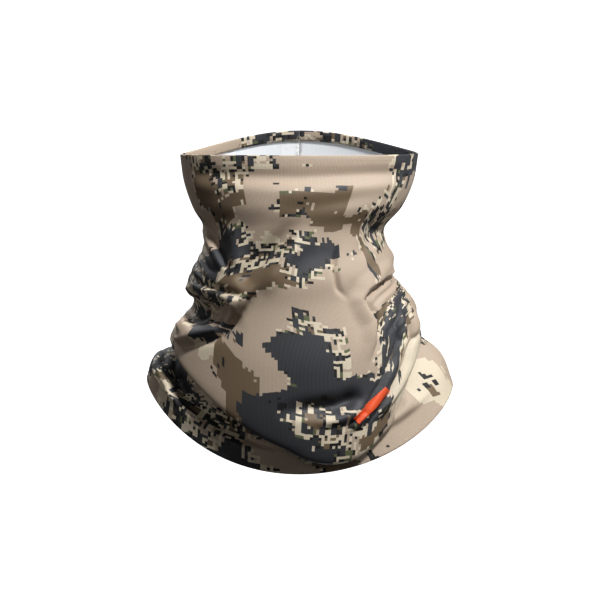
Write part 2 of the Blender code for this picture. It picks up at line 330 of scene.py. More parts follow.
def layerShare(shares, layer):
    # 1 over a range of shares down the cloth, with a short fade at both ends, as a column.
    low, high = layer
    inside = ease(shares, low - 0.02, low + 0.02) * ease(-shares, -high - 0.01, -high + 0.01)
    return inside[:, None]


def foldLift(wall, shares):
    # Height of every crease, pleat and bundle over the wall, in metres, along its normal. A
    # crease is a bell curve across its line, a pleat a squared cosine with a sharp fall, and a
    # bundle |sine|^0.6, which is round on top and sharp between the rolls.
    x, z = wall[..., 0] / millimetre, wall[..., 2] / millimetre
    forward = -wall[..., 1] / millimetre
    front, back = ease(forward, -10, 28), ease(-forward, 10, 40)
    lift = np.zeros(wall.shape[:2])
    for fold in list(creases.values()) + list(pleats.values()):
        distance, along = pathDistance(x, z, fold["path"])
        fade = lineShare(along, fold["tapers"]) * layerShare(shares, fold["layer"])
        side = back if fold.get("behind") else front
        if "drop" in fold:
            body = np.cos(np.clip(distance / fold["width"], 0, 1) * math.pi / 2) ** 2
            fall = 1 - (1 + fold["cleft"]) * ease(-distance, 0, fold["drop"])
            rise = fold["cleft"] * ease(-distance, fold["drop"], fold["drop"] * 3.5)
            section = np.where(distance > 0, body, fall + rise)
        else:
            section = np.exp(-(distance / fold["width"]) ** 2)
        lift += fold["height"] * section * fade * side
    for bundle in bundles.values():
        distance, along = pathDistance(x, z, bundle["path"])
        fade = lineShare(along, bundle["tapers"]) * layerShare(shares, bundle["layer"])
        startWidth, endWidth = bundle["widths"]
        width = startWidth + (endWidth - startWidth) * ease(along, 0, 0.5)
        roll = distance / width
        window = ease(roll, -0.3, 0.05) * ease(-roll, -bundle["count"], 0.7 - bundle["count"])
        section = np.abs(np.sin(roll * math.pi)) ** 0.6 - 0.5
        lift += bundle["height"] * width * section * window * fade * front
    return lift * millimetre


# Tight wrinkles where the slack cloth bunches, as waves (x, z and the patch's size, wavelength
# and height in millimetres, direction in degrees from level, layer in shares down the cloth).
# gather is how many times longer the cloth is there than the line it follows.
bunches = {
    "leftCollar": {
        "place": (-86, -26), "size": (26, 26), "wave": 9, "height": 1.7, "tilt": -32,
        "layer": (0.2, 0.5), "gather": 2.2,
    },
    "leftHollow": {
        "place": (-76, -64), "size": (34, 18), "wave": 8, "height": 1.8, "tilt": 35,
        "layer": (0.3, 0.62), "gather": 2.6,
    },
    "rightCollar": {
        "place": (78, -56), "size": (26, 34), "wave": 9, "height": 1.3, "tilt": 58,
        "layer": (0.25, 0.6), "gather": 3.4,
    },
    "rightFlank": {
        "place": (96, -92), "size": (20, 40), "wave": 10, "height": 1.4, "tilt": 68,
        "layer": (0.3, 0.68), "gather": 2.0,
    },
    "leftSkirt": {
        "place": (-104, -128), "size": (38, 36), "wave": 12, "height": 2.0, "tilt": -50,
        "layer": (0.8, 0.95), "gather": 2.2,
    },
}


def bunchLift(wall, shares):
    # Rounded ridges with sharp valleys between, 2 |cosine| - 1 of a bent line, inside a soft oval
    # patch and calmer at the two sides; and how many times longer the cloth is than its line.
    x, z = wall[..., 0] / millimetre, wall[..., 2] / millimetre
    lift = np.zeros(wall.shape[:2])
    gather = np.ones(wall.shape[:2])
    calm = 0.25 + 0.75 * ease(np.abs(wall[..., 1]) / millimetre, 0, 30)
    for bunch in bunches.values():
        dx = (x - bunch["place"][0]) / bunch["size"][0]
        dz = (z - bunch["place"][1]) / bunch["size"][1]
        low, high = bunch["layer"]
        layer = ease(shares, low, low + 0.04) * ease(-shares, -high, -high + 0.04)
        patch = (1 - ease(np.hypot(dx, dz), 0.3, 1)) * layer[:, None]
        tilt = math.radians(bunch["tilt"])
        along = x * math.cos(tilt) + z * math.sin(tilt)
        across = -x * math.sin(tilt) + z * math.cos(tilt)
        bend = 2.8 * np.sin(along / 9) + 1.8 * np.sin(along / 4.6 + across / 7 + 1)
        ridges = 2 * np.abs(np.cos((across + bend) * math.pi / bunch["wave"])) - 1
        lift += bunch["height"] * ridges * patch
        gather += (bunch["gather"] - 1) * patch
    return lift * calm * millimetre, gather


def panelGrid():
    # The panel's middle surface: facing, fold, wall, fold, facing, and its flat coordinates.
    half = np.linspace(-1, 1, cloth["columns"] + 1)
    seamTurn = cloth["seamGap"] / 2 / cloth["backReach"]
    density = cloth["frontDensity"]
    angles = (math.pi - seamTurn) * ((1 - density) * half + density * half**3)
    shares = np.linspace(0, 1, cloth["wallRows"] + 1)
    wall = drape(angles, shares)
    wrinkles, gather = bunchLift(wall, shares)
    wall = wall + gridNormals(wall) * (foldLift(wall, shares) + wrinkles)[..., None]
    normals = gridNormals(wall)
    steps = np.linalg.norm(np.diff(wall, axis=0), axis=2) * gather[1:]
    downShares = np.concatenate([np.zeros((1, len(angles))), np.cumsum(steps, axis=0)])
    downShares = downShares / downShares[-1]
    radius = (cloth["thickness"] + cloth["hemGap"]) / 2
    turn = np.linspace(0, math.pi, cloth["foldRows"] + 1)[1:, None, None]
    run = np.linspace(0, cloth["hemDepth"], cloth["facingRows"] + 1)[1:, None, None]
    parts = []
    for end, nextRow in ((0, 3), (-1, -4)):
        away = wall[end] - wall[nextRow]
        away = away / np.linalg.norm(away, axis=-1, keepdims=True)
        fold = wall[end] - normals[end] * radius * (1 - np.cos(turn)) + away * radius * np.sin(turn)
        parts.append(np.concatenate([fold, fold[-1] - away * run]))
    grid = np.concatenate([parts[0][::-1], wall, parts[1]])
    sideLength, frontExtra = cloth["flatLength"]
    flatLength = sideLength + frontExtra * np.cos(angles)
    extra = np.concatenate([radius * turn.ravel(), radius * math.pi + run.ravel()])
    downs = np.concatenate([
        -extra[::-1, None] * np.ones_like(angles),
        downShares * flatLength,
        flatLength + extra[:, None],
    ])
    shareRows = np.concatenate([np.zeros(len(extra)), shares, np.ones(len(extra))])
    topGirth, flare = cloth["flatGirth"]
    flatGirth = topGirth + flare * ease(shareRows, cloth["flareStart"], 1.0)
    rounds = flatGirth[:, None] * angles / (2 * math.pi)
    return grid, rounds, downs


def meshFromParts(name, points, faces, uv=None):
    # A smooth object from points and quads; uv holds a pair for every point.
    mesh = bpy.data.meshes.new(name)
    mesh.from_pydata(points.tolist(), [], faces.tolist())
    if uv is not None:
        layer = mesh.uv_layers.new(name="flat")
        layer.data.foreach_set("uv", uv[faces.ravel()].ravel())
    mesh.shade_smooth()
    obj = bpy.data.objects.new(name, mesh)
    bpy.context.scene.collection.objects.link(obj)
    return obj


def gridQuads(rows, columns):
    # One quad between each four neighbouring points of a grid.
    corner = np.arange(rows * columns).reshape(rows, columns)
    quads = np.stack([corner[:-1, :-1], corner[1:, :-1], corner[1:, 1:], corner[:-1, 1:]], axis=-1)
    return quads.reshape(-1, 4)


def meshFromGrid(name, grid, thickness, uv=None):
    # A sheet through a grid of points, thickened evenly to both sides.
    flat = None if uv is None else uv.reshape(-1, 2)
    obj = meshFromParts(name, grid.reshape(-1, 3), gridQuads(*grid.shape[:2]), flat)
    wall = obj.modifiers.new("thickness", "SOLIDIFY")
    wall.thickness = thickness
    wall.offset = 0
    return obj


print("cloth: draping the panel")
clothGrid, clothRounds, clothDowns = panelGrid()
clothFlat = np.stack([clothRounds, clothDowns], axis=-1)
panel = meshFromGrid("knit_panel_cloth", clothGrid, cloth["thickness"], clothFlat)
panel.modifiers["thickness"].material_offset = 1  # the reverse takes the second material
panel.modifiers["thickness"].material_offset_rim = 0


class Socket:
    # A value in a node tree; Python's operators add Math nodes.
    def __init__(self, tree, link):
        self.tree, self.link = tree, link

    def node(self, kind, settings=None, **inputs):
        # Adds a node with its settings and inputs (by name or _index). It returns the output whose
        # index the settings give, or else the first.
        made = self.tree.nodes.new(kind)
        for key, value in (settings or {}).items():
            if key != "output":
                setattr(made, key, value)
        for key, value in inputs.items():
            place = int(key[1:]) if key[1:].isdigit() else key.replace("_", " ")
            target = made.inputs[place]
            if isinstance(value, Socket):
                self.tree.links.new(value.link, target)
            else:
                target.default_value = value
        return Socket(self.tree, made.outputs[(settings or {}).get("output", 0)])

    def maths(self, operation, *values):
        inputs = {f"_{i}": value for i, value in enumerate(values)}
        return self.node("ShaderNodeMath", {"operation": operation}, **inputs)

    def __add__(self, other):
        return self.maths("ADD", self, other)

    def __radd__(self, other):
        return self.maths("ADD", other, self)

    def __sub__(self, other):
        return self.maths("SUBTRACT", self, other)

    def __rsub__(self, other):
        return self.maths("SUBTRACT", other, self)

    def __mul__(self, other):
        return self.maths("MULTIPLY", self, other)

    def __rmul__(self, other):
        return self.maths("MULTIPLY", other, self)

    def __truediv__(self, other):
        return self.maths("DIVIDE", self, other)

    def __rtruediv__(self, other):
        return self.maths("DIVIDE", other, self)

    def __gt__(self, other):
        return self.maths("GREATER_THAN", self, other)

    def __lt__(self, other):
        return self.maths("LESS_THAN", self, other)

    def floor(self):
        return self.maths("FLOOR", self)

    def sine(self):
        return self.maths("SINE", self)

    def size(self):
        return self.maths("ABSOLUTE", self)

    def exponent(self):
        return self.maths("EXPONENT", self)

    def mix(self, other, share):
        # This colour where share is 0 and the other where it is 1.
        settings = {"data_type": "RGBA", "output": 2}
        return self.node("ShaderNodeMix", settings, _0=share, _6=self, _7=other)


def startMaterial(name, roughness, sheen=0.0, coat=0.0):
    # A material with a Principled shader; returns both and a wrapped starting socket.
    material = bpy.data.materials.new(name)
    material.use_nodes = True
    shader = material.node_tree.nodes["Principled BSDF"]
    shader.inputs["Roughness"].default_value = roughness
    shader.inputs["Sheen Weight"].default_value = sheen
    shader.inputs["Coat Weight"].default_value = coat
    return material, shader, Socket(material.node_tree, shader.outputs[0])


def plainColour(start, colour):
    # One fixed colour as a wrapped socket.
    made = start.node("ShaderNodeRGB")
    made.link.default_value = colour
    return made


def join(shader, name, value):
    value.tree.links.new(value.link, shader.inputs[name])


def addBump(shader, start, height, strength, distance):
    normal = start.node("ShaderNodeBump", Height=height, Strength=strength, Distance=distance)
    join(shader, "Normal", normal)


def rgb(red, green, blue):
    # A screen colour of 0 to 255 as the linear colour a shader takes.
    shares = [value / 255 for value in (red, green, blue)]
    linear = [s / 12.92 if s < 0.0404 else ((s + 0.055) / 1.055) ** 2.4 for s in shares]
    return (*linear, 1.0)


# The printed jersey, in the cloth's flat coordinates.
printing = {
    "cell": 2.1 * millimetre,  # the print's smallest square
    "rib": 0.9 * millimetre,  # the knit's ribs, from one to the next
    "yarn": (0.7 * millimetre, 1.4 * millimetre),  # the uneven yarn's grain, across and down
    "tan": rgb(182, 165, 147),
    "charcoal": rgb(57, 58, 62),
    "brown": rgb(117, 100, 79),
    "cream": rgb(212, 200, 178),
    "olive": rgb(98, 104, 74),
    "black": rgb(30, 28, 27),
    # The noise above which each patch colour, the crowds of small blocks and the strays show.
    "creamAbove": 0.59,
    "brownAbove": 0.60,
    "charcoalAbove": 0.55,
    "crowdAbove": 0.38,
    "strayAbove": 0.66,
    "borderAt": 0.545,  # the dark noise in the middle of a border that small blocks crowd
    "borderReach": 0.026,  # how far the noise may lie from that
    "crowdReach": 0.12,  # how much further, for each unit of crowding over a half
    "earthReach": 0.014,  # how far the brown noise may lie from its own border
    # The small blocks: width and height in cells, seed, share left plain, and colour.
    "blocks": (
        (4, 2, 1.0, 0.76, "charcoal"),
        (3, 2, 2.0, 0.82, "olive"),
        (5, 3, 10.0, 0.86, "brown"),
        (3, 1, 3.0, 0.78, "black"),
        (1, 3, 4.0, 0.79, "cream"),
        (2, 1, 5.0, 0.77, "cream"),
        (1, 2, 6.0, 0.84, "black"),
        (1, 6, 8.0, 0.90, "tan"),
        (5, 1, 9.0, 0.88, "cream"),
        (2, 4, 11.0, 0.88, "charcoal"),
    ),
    # Where patches gather: place on the flat cloth (u from the front, v from the top edge) and
    # size in metres, then the pull on the dark patches and on the crowds of small blocks. The dark
    # pulls of the first two rows are painted shade: the first adds it to the left skirt's dark print,
    # the second darkens the left recess.
    "pulls": (
        # left skirt: crowds of print, and a dark pull that is partly print and partly painted shade
        (-0.105, 0.275, 0.050, 0.05, 0.14),
        # left recess: a dark pull that is painted shade
        (-0.098, 0.148, 0.022, 0.09, 0.08),
        (-0.111, 0.105, 0.022, 0.02, 0.16),
        (-0.062, 0.198, 0.030, -0.13, -0.20),
        (-0.012, 0.160, 0.024, 0.08, -0.02),
        (0.030, 0.160, 0.024, 0.02, 0.16),
        (0.010, 0.225, 0.035, 0.07, 0.10),
        (0.085, 0.195, 0.030, 0.02, 0.18),
        (0.092, 0.155, 0.026, 0.09, 0.22),
        (0.090, 0.232, 0.022, 0.03, 0.20),
        (0.110, 0.285, 0.045, -0.12, -0.25),
        (-0.050, 0.035, 0.040, 0.00, 0.18),
        (-0.004, 0.024, 0.020, 0.07, 0.16),
        (0.010, 0.060, 0.025, 0.00, 0.14),
        (-0.030, 0.080, 0.030, -0.12, -0.05),
        (0.062, 0.085, 0.022, 0.03, 0.16),
        (0.040, 0.112, 0.020, 0.06, 0.18),
        (0.200, 0.000, 0.050, 0.07, 0.14),
        (-0.200, 0.000, 0.050, 0.05, 0.14),
    ),
}


def cellNoise(start, u, v, scale, seed, cellU=1, cellV=1, stretch=1.0, detail=2.0):
    # Smooth noise read once for each block of cells, so that its outlines are stepped.
    snappedU = ((u / cellU).floor() + 0.5) * cellU
    snappedV = ((v / cellV).floor() + 0.5) * cellV
    across, down = snappedU * scale, snappedV * (scale * stretch)
    place = start.node("ShaderNodeCombineXYZ", None, _0=across, _1=down, _2=seed)
    return start.node("ShaderNodeTexNoise", None, Vector=place, Scale=1.0, Detail=detail, Roughness=0.5)


def patchNoise(start, u, v, scale, seed):
    # Noise in coarse blocks, some wide and some tall, plus a little at the size of one cell.
    wide = cellNoise(start, u, v, scale, seed, cellU=6, cellV=2, stretch=1.3, detail=1.0)
    tall = cellNoise(start, u, v, scale, seed, cellU=2, cellV=5, stretch=1.3, detail=1.0)
    fine = cellNoise(start, u, v, scale * 3, seed + 50, detail=1.0)
    return wide * 0.42 + tall * 0.42 + fine * 0.16


def pullSums(u, v):
    # Sums over the pulls of pull * exp(-(distance / size)^2), read once for each cell: first on
    # the dark patches, then on the crowds. The dark sum carries the painted shade of the left recess
    # and the left skirt.
    middleU = (u.floor() + 0.5) * printing["cell"]
    middleV = (v.floor() + 0.5) * printing["cell"]
    dark, crowd = 0.0, 0.0
    for placeU, placeV, size, darkPrintAndShadePull, crowdPull in printing["pulls"]:
        du = (middleU - placeU) / size
        dv = (middleV - placeV) / size
        near = (0.0 - (du * du + dv * dv)).exponent()
        dark = near * darkPrintAndShadePull + dark
        crowd = near * crowdPull + crowd
    return dark, crowd


def blockNoise(start, u, v, width, height, seed):
    # One random value for each block of width by height cells.
    across, down = (u / width).floor(), (v / height).floor()
    place = start.node("ShaderNodeCombineXYZ", None, _0=across, _1=down, _2=seed)
    return start.node("ShaderNodeTexWhiteNoise", {"noise_dimensions": "3D"}, Vector=place)


def camouflage(start):
    # Large stepped patches in few colours, with small random blocks crowding some of their borders:
    # the colour, and the place on the cloth counted in cells. The dark patches hold painted shade in
    # the left recess, and on the left skirt beside its dark print.
    flat = start.node("ShaderNodeUVMap", {"uv_map": "flat"})
    u = start.node("ShaderNodeSeparateXYZ", None, _0=flat) * (1 / printing["cell"])
    v = start.node("ShaderNodeSeparateXYZ", {"output": 1}, _0=flat) * (1 / printing["cell"])
    darkPrintAndShadePull, crowdPull = pullSums(u, v)
    # The dark pull also paints shade into the left recess and onto the left skirt.
    dark = patchNoise(start, u, v, 0.030, 5.3) + darkPrintAndShadePull
    earth = patchNoise(start, u, v, 0.038, 11.7)
    light = patchNoise(start, u, v, 0.036, 23.4)
    crowd = cellNoise(start, u, v, 0.026, 37.9, detail=0.0) + crowdPull
    colour = plainColour(start, printing["tan"]).mix(printing["cream"], light > printing["creamAbove"])
    colour = colour.mix(printing["brown"], earth > printing["brownAbove"])
    colour = colour.mix(printing["charcoal"], dark > printing["charcoalAbove"])
    closeness = (dark - printing["borderAt"]).size() - (crowd - 0.5) * printing["crowdReach"]
    darkBorder = closeness < printing["borderReach"]
    earthBorder = (earth - printing["brownAbove"]).size() < printing["earthReach"]
    borders = start.maths("MAXIMUM", darkBorder, earthBorder)
    busy = borders * (crowd > printing["crowdAbove"])
    for width, height, seed, share, tint in printing["blocks"]:
        spot = blockNoise(start, u, v, width, height, seed) > share
        colour = colour.mix(printing[tint], spot * busy)
    strayPatch = cellNoise(start, u, v, 0.08, 41.0) > printing["strayAbove"]
    stray = strayPatch * (blockNoise(start, u, v, 2, 1, 7.0) > 0.6)
    return colour.mix(printing["black"], stray), u, v


def ribs(start, u):
    # The knit's fine vertical ribs: half of 1 + sin(2 pi u), u counted in ribs.
    return ((u * (2 * math.pi * printing["cell"] / printing["rib"])).sine() + 1) * 0.5


def knitGrain(start, u, v):
    # The uneven yarn: noise stretched down the ribs.
    across = u * (printing["cell"] / printing["yarn"][0])
    down = v * (printing["cell"] / printing["yarn"][1])
    place = start.node("ShaderNodeCombineXYZ", None, _0=across, _1=down)
    return start.node("ShaderNodeTexNoise", None, Vector=place, Scale=1.0, Detail=1.0, Roughness=0.6)


def printedJersey():
    material, shader, start = startMaterial("printed jersey", 0.55, sheen=0.08)
    shader.inputs["Sheen Roughness"].default_value = 0.4
    colour, u, v = camouflage(start)
    rib = ribs(start, u)
    grain = knitGrain(start, u, v)
    join(shader, "Base Color", colour.mix((0.0, 0.0, 0.0, 1.0), rib * 0.06 + grain * 0.24))
    addBump(shader, start, rib + grain, 0.35, 0.0003)
    return material


def paleReverse():
    material, shader, start = startMaterial("pale reverse", 0.75, sheen=0.2)
    colour, u, _ = camouflage(start)
    rib = ribs(start, u)
    pale = colour.mix(rgb(232, 235, 238), 0.90)
    join(shader, "Base Color", pale.mix((0.55, 0.57, 0.60, 1.0), rib * 0.12))
    addBump(shader, start, rib, 0.3, 0.0002)
    return material


print("cloth: materials")
panel.data.materials.append(printedJersey())
panel.data.materials.append(paleReverse())
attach(panel, "gaiter")
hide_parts("knit_panel")


# The stitches of the hems and the back seam, laid on the draped cloth.
stitching = {
    "threadRadius": 0.15 * millimetre,
    "stitchLength": 2.5 * millimetre,
    "stitchGap": 0.5 * millimetre,
    "stitchStations": 6,
    "threadSides": 6,
    "proud": 0.08 * millimetre,  # the middle of a stitch's centre line over the cloth's face
    "hemRows": {"outer": 3.5 * millimetre, "inner": 7.5 * millimetre},
    "zigzag": 3.2 * millimetre,  # along the edge, from one turn to the next
    "seamHalf": 2.5 * millimetre,
    "seamClear": 9 * millimetre,  # from each edge of the tube to the seam threads' ends
}

clothNormals = gridNormals(clothGrid)
firstWallRow = cloth["foldRows"] + cloth["facingRows"]
lastWallRow = firstWallRow + cloth["wallRows"]
lastColumn = cloth["columns"]


def readGrid(values, rows, columns):
    # Values between the four neighbouring grid points, in proportion.
    row = np.clip(np.floor(rows).astype(int), 0, values.shape[0] - 2)
    column = np.clip(np.floor(columns).astype(int), 0, values.shape[1] - 2)
    r, c = (rows - row)[..., None], (columns - column)[..., None]
    top = values[row, column] * (1 - c) + values[row, column + 1] * c
    low = values[row + 1, column] * (1 - c) + values[row + 1, column + 1] * c
    return top * (1 - r) + low * r


def onCloth(rows, columns, lift):
    # Points lifted off the cloth's middle surface, the normals there, and the flat coordinates.
    normals = readGrid(clothNormals, rows, columns)
    normals = normals / np.linalg.norm(normals, axis=-1, keepdims=True)
    points = readGrid(clothGrid, rows, columns) + normals * lift
    return points, normals, readGrid(clothFlat, rows, columns)


def rowsDown(distance, end):
    # For each column, the grid row that lies a distance from the top (+1) or bottom (-1) edge.
    wall = clothGrid[firstWallRow : lastWallRow + 1][::end]
    lengths = np.linalg.norm(np.diff(wall, axis=0), axis=2).cumsum(axis=0)
    steps = np.arange(1, len(lengths) + 1)
    rows = np.array([np.interp(distance, column, steps) for column in lengths.T])
    return firstWallRow + rows if end > 0 else lastWallRow - rows


def ringReader(distance, end):
    # A function from length round the tube to (row, column) at a distance from the edge, and the
    # girth there.
    rows = rowsDown(distance, end)
    columns = np.arange(lastColumn + 1)
    ring = readGrid(clothGrid, rows, columns.astype(float))
    lengths = np.concatenate([[0], np.linalg.norm(np.diff(ring, axis=0), axis=1).cumsum()])

    def read(length):
        return np.interp(length, lengths, rows), np.interp(length, lengths, columns)

    return read, lengths[-1]


def quadTubes(paths, sides, radii, normals):
    # Rings of points round each path (paths, stations, 3) and the quads that join them.
    count, stations = paths.shape[:2]
    along = np.gradient(paths, axis=1)
    along = along / np.linalg.norm(along, axis=-1, keepdims=True)
    across = np.cross(along, normals)
    across = across / np.linalg.norm(across, axis=-1, keepdims=True)
    out = np.cross(across, along)
    turn = np.arange(sides) * 2 * math.pi / sides
    ring = across[:, :, None] * np.cos(turn)[:, None] + out[:, :, None] * np.sin(turn)[:, None]
    points = paths[:, :, None] + ring * radii[:, :, None, None]
    corner = np.arange(count * stations * sides).reshape(count, stations, sides)
    after = np.roll(corner, -1, axis=2)
    quads = np.stack([corner[:, :-1], after[:, :-1], after[:, 1:], corner[:, 1:]], axis=-1)
    return points.reshape(-1, 3), quads.reshape(-1, 4)


def stitchRow(name, starts, ends, normals, flat, proud):
    # Short stitches arched as sin(pi t)^0.6, whose ends sink into the cloth and grow thinner. Each
    # takes one spot of the print.
    stations = stitching["stitchStations"]
    t = np.linspace(0, 1, stations)
    arch = np.sin(math.pi * t) ** 0.6
    radius = stitching["threadRadius"]
    sunk = 1.6 * radius
    paths = starts[:, None] * (1 - t)[:, None] + ends[:, None] * t[:, None]
    paths = paths + normals[:, None] * ((proud + sunk) * arch - sunk)[:, None]
    radii = np.broadcast_to(radius * (0.6 + 0.4 * arch), (len(paths), stations))
    sides = stitching["threadSides"]
    points, quads = quadTubes(paths, sides, radii, np.broadcast_to(normals[:, None], paths.shape))
    return meshFromParts(name, points, quads, np.repeat(flat, stations * sides, axis=0))


def threadAlong(name, path, normals, flat):
    # One unbroken round thread along a path on the cloth.
    radii = np.full((1, len(path)), stitching["threadRadius"])
    sides = stitching["threadSides"]
    points, quads = quadTubes(path[None], sides, radii, normals[None])
    return meshFromParts(name, points, quads, np.repeat(flat, sides, axis=0))


def threadMaterial(name, colour=None):
    # Twisted polyester; a thread with no colour of its own takes the print's under each stitch.
    material, shader, start = startMaterial(name, 0.6, sheen=0.1)
    place = start.node("ShaderNodeTexCoord", {"output": 3})
    wave = start.node("ShaderNodeTexNoise", None, Vector=place, Scale=2600.0, Detail=0.0)
    base = plainColour(start, colour) if colour else camouflage(start)[0]
    join(shader, "Base Color", base.mix((0.02, 0.02, 0.02, 1.0), wave * 0.25))
    addBump(shader, start, wave, 0.3, 0.0001)
    return material


def finishPiece(obj, node, material, body="gaiter"):
    obj.data.materials.append(material)
    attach(obj, body)
    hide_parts(node)


def sewHem(hem, end):
    # Two rows of needle stitches outside and a looper thread zigzagging between them inside.
    pitch = stitching["stitchLength"] + stitching["stitchGap"]
    outside = cloth["thickness"] / 2
    for place, distance in stitching["hemRows"].items():
        read, girth = ringReader(distance, end)
        count = round(girth / pitch)
        begin = (np.arange(count) + 0.1) * girth / count
        starts, _, _ = onCloth(*read(begin), outside)
        ends, _, _ = onCloth(*read(begin + stitching["stitchLength"]), outside)
        _, normals, flat = onCloth(*read(begin + stitching["stitchLength"] / 2), outside)
        name = f"{hem}_hem_needle_stitches_{place}"
        row = stitchRow(name, starts, ends, normals, flat, stitching["proud"])
        finishPiece(row, f"{hem}_hem_needle_thread_{place}", matchedThread)
    inside = -(1.5 * cloth["thickness"] + cloth["hemGap"] + stitching["threadRadius"])
    rows = [ringReader(distance, end) for distance in stitching["hemRows"].values()]
    count = 2 * round(rows[0][1] / stitching["zigzag"] / 2)
    turns = np.arange(count * 4 + 1) / 4
    sway = (1 - np.cos(turns * math.pi)) / 2
    paths = [onCloth(*read(turns / count * girth), inside) for read, girth in rows]
    blend = sway[:, None]
    path = paths[0][0] * (1 - blend) + paths[1][0] * blend
    flat = paths[0][2] * (1 - blend) + paths[1][2] * blend
    looper = threadAlong(f"{hem}_hem_looper_zigzag", path, paths[0][1], flat)
    finishPiece(looper, f"{hem}_hem_looper_thread", matchedThread)


def seamPoints(sides, distances, lift):
    # Points beside the back seam, their normals and flat coordinates, and the seam's length. Sides
    # run in metres towards +x, and distances down from the top edge.
    edges = (clothGrid[:, 0] + clothGrid[:, -1]) / 2
    lengths = np.linalg.norm(np.diff(edges[firstWallRow : lastWallRow + 1], axis=0), axis=1).cumsum()
    rows = firstWallRow + np.interp(distances, lengths, np.arange(1, len(lengths) + 1))
    spacing = np.linalg.norm(clothGrid[firstWallRow, 1] - clothGrid[firstWallRow, 0])
    shift = np.abs(sides) / spacing
    low, lowNormal, lowFlat = onCloth(rows, shift, lift)
    high, highNormal, highFlat = onCloth(rows, lastColumn - shift, lift)
    share = np.clip(sides / (2 * cloth["seamGap"]) + 0.5, 0, 1)[:, None]
    points = low * (1 - share) + high * share
    normals = lowNormal * (1 - share) + highNormal * share
    return points, normals, lowFlat * (1 - share) + highFlat * share, lengths[-1]


def sewSeam():
    # Needle stitches on each side of the seam, and a cover thread outside and a looper thread
    # inside that zigzag between them.
    outside = cloth["thickness"] / 2
    clear, half = stitching["seamClear"], stitching["seamHalf"]
    length = seamPoints(np.zeros(1), np.zeros(1), 0)[3]
    pitch = stitching["stitchLength"] + stitching["stitchGap"]
    count = int((length - 2 * clear) / pitch)
    begin = clear + np.arange(count) * pitch
    for place, side in (("left", -half), ("right", half)):
        sides = np.full(count, side)
        starts = seamPoints(sides, begin, outside)[0]
        ends = seamPoints(sides, begin + stitching["stitchLength"], outside)[0]
        _, normals, flat, _ = seamPoints(sides, begin + stitching["stitchLength"] / 2, outside)
        name = f"back_seam_needle_stitches_{place}"
        row = stitchRow(name, starts, ends, normals, flat, stitching["proud"])
        finishPiece(row, f"back_seam_needle_thread_{place}", seamThread)
    count = round((length - 2 * clear) / stitching["zigzag"])
    turns = np.arange(count * 6 + 1) / 6
    downs = clear + turns / count * (length - 2 * clear)
    sides = half * np.cos(turns * math.pi)
    proud = outside + stitching["threadRadius"] * 1.3
    for name, lift, thread in (("cover", proud, seamThread), ("looper", -proud, paleThread)):
        path, normals, flat, _ = seamPoints(sides, downs, lift)
        zigzag = threadAlong(f"back_seam_{name}_zigzag", path, normals, flat)
        finishPiece(zigzag, f"back_seam_{name}_thread", thread)


print("stitches: hems and back seam")
matchedThread = threadMaterial("print matched thread")
paleThread = threadMaterial("pale thread", rgb(214, 213, 208))
seamThread = threadMaterial("seam thread", rgb(150, 138, 122))
sewHem("top", 1)
sewHem("bottom", -1)
sewSeam()


# The care label, a folded ribbon that turns about the line where it is stitched.
flip = next(joint for joint in frame["joints"] if joint["name"] == "care_label_flip")

label = {
    "hinge": flip["pos_m"],
    "axis": flip["axis"],
    "rest": math.radians(16),  # from the cloth, before it is flipped
    "length": 30 * millimetre,
    "height": 20 * millimetre,
    "ribbon": 0.25 * millimetre,
    "gap": 0.55 * millimetre,  # between the two layers, at the root
    "swell": 0.35 * millimetre,  # how far each layer bulges, halfway to the fold
    "bow": 1.2 * millimetre,  # how far the free end curls away
    "ripple": 0.25 * millimetre,  # the uneven wave along it, at the free end
    "lengthSteps": 40,
    "heightSteps": 24,
    "foldSteps": 10,
    "tackStitches": 9,
    "tackFromRoot": 0.6 * millimetre,
    "tackFill": 0.8,  # share of the hinge line that the tack stitches cover
    "selvedge": 0.9 * millimetre,  # the ribbon's darker edges
}


def labelFrame():
    # Along the ribbon, across its layers and up the hinge line.
    up = -Vector(label["axis"]).normalized()
    inward = Vector((0, -1, 0))
    inward = (inward - up * inward.dot(up)).normalized()
    along = up.cross(inward) * math.cos(label["rest"]) + inward * math.sin(label["rest"])
    return np.array(along), np.array(up.cross(along)), np.array(up)


def makeLabel():
    # Out from the seam, round the fold and back. The layers lie at y = +-(half + swell *
    # sin(pi run)^2), and both bow as the square of the way along, with a small ripple.
    run = np.linspace(0, 1, label["lengthSteps"] + 1)
    half = (label["gap"] + label["ribbon"]) / 2
    swollen = half + label["swell"] * np.sin(run * math.pi) ** 2
    turn = np.linspace(0, math.pi, label["foldSteps"] + 1)[1:-1]
    reach = label["length"] - half - label["ribbon"] / 2
    x = np.concatenate([run * reach, reach + half * np.sin(turn), (run * reach)[::-1]])
    y = np.concatenate([swollen, half * np.cos(turn), -swollen[::-1]])
    rise = np.linspace(0.5, -0.5, label["heightSteps"] + 1)[:, None]
    share = x / label["length"]
    y = y - label["bow"] * share**2 * (1 + 0.8 * rise)
    y = y + label["ripple"] * np.sin(share * 9 + 5 * rise) * share
    along, across, up = labelFrame()
    z = label["height"] * rise * np.ones_like(x)
    root = np.array(label["hinge"])
    grid = root + x[None, :, None] * along + y[..., None] * across + z[..., None] * up
    runs = np.linspace(0, 2 * label["length"], len(x))
    uv = np.stack([np.broadcast_to(runs, y.shape), z], axis=-1)
    return meshFromGrid("care_label_ribbon", grid[:, ::-1], label["ribbon"], uv[:, ::-1])


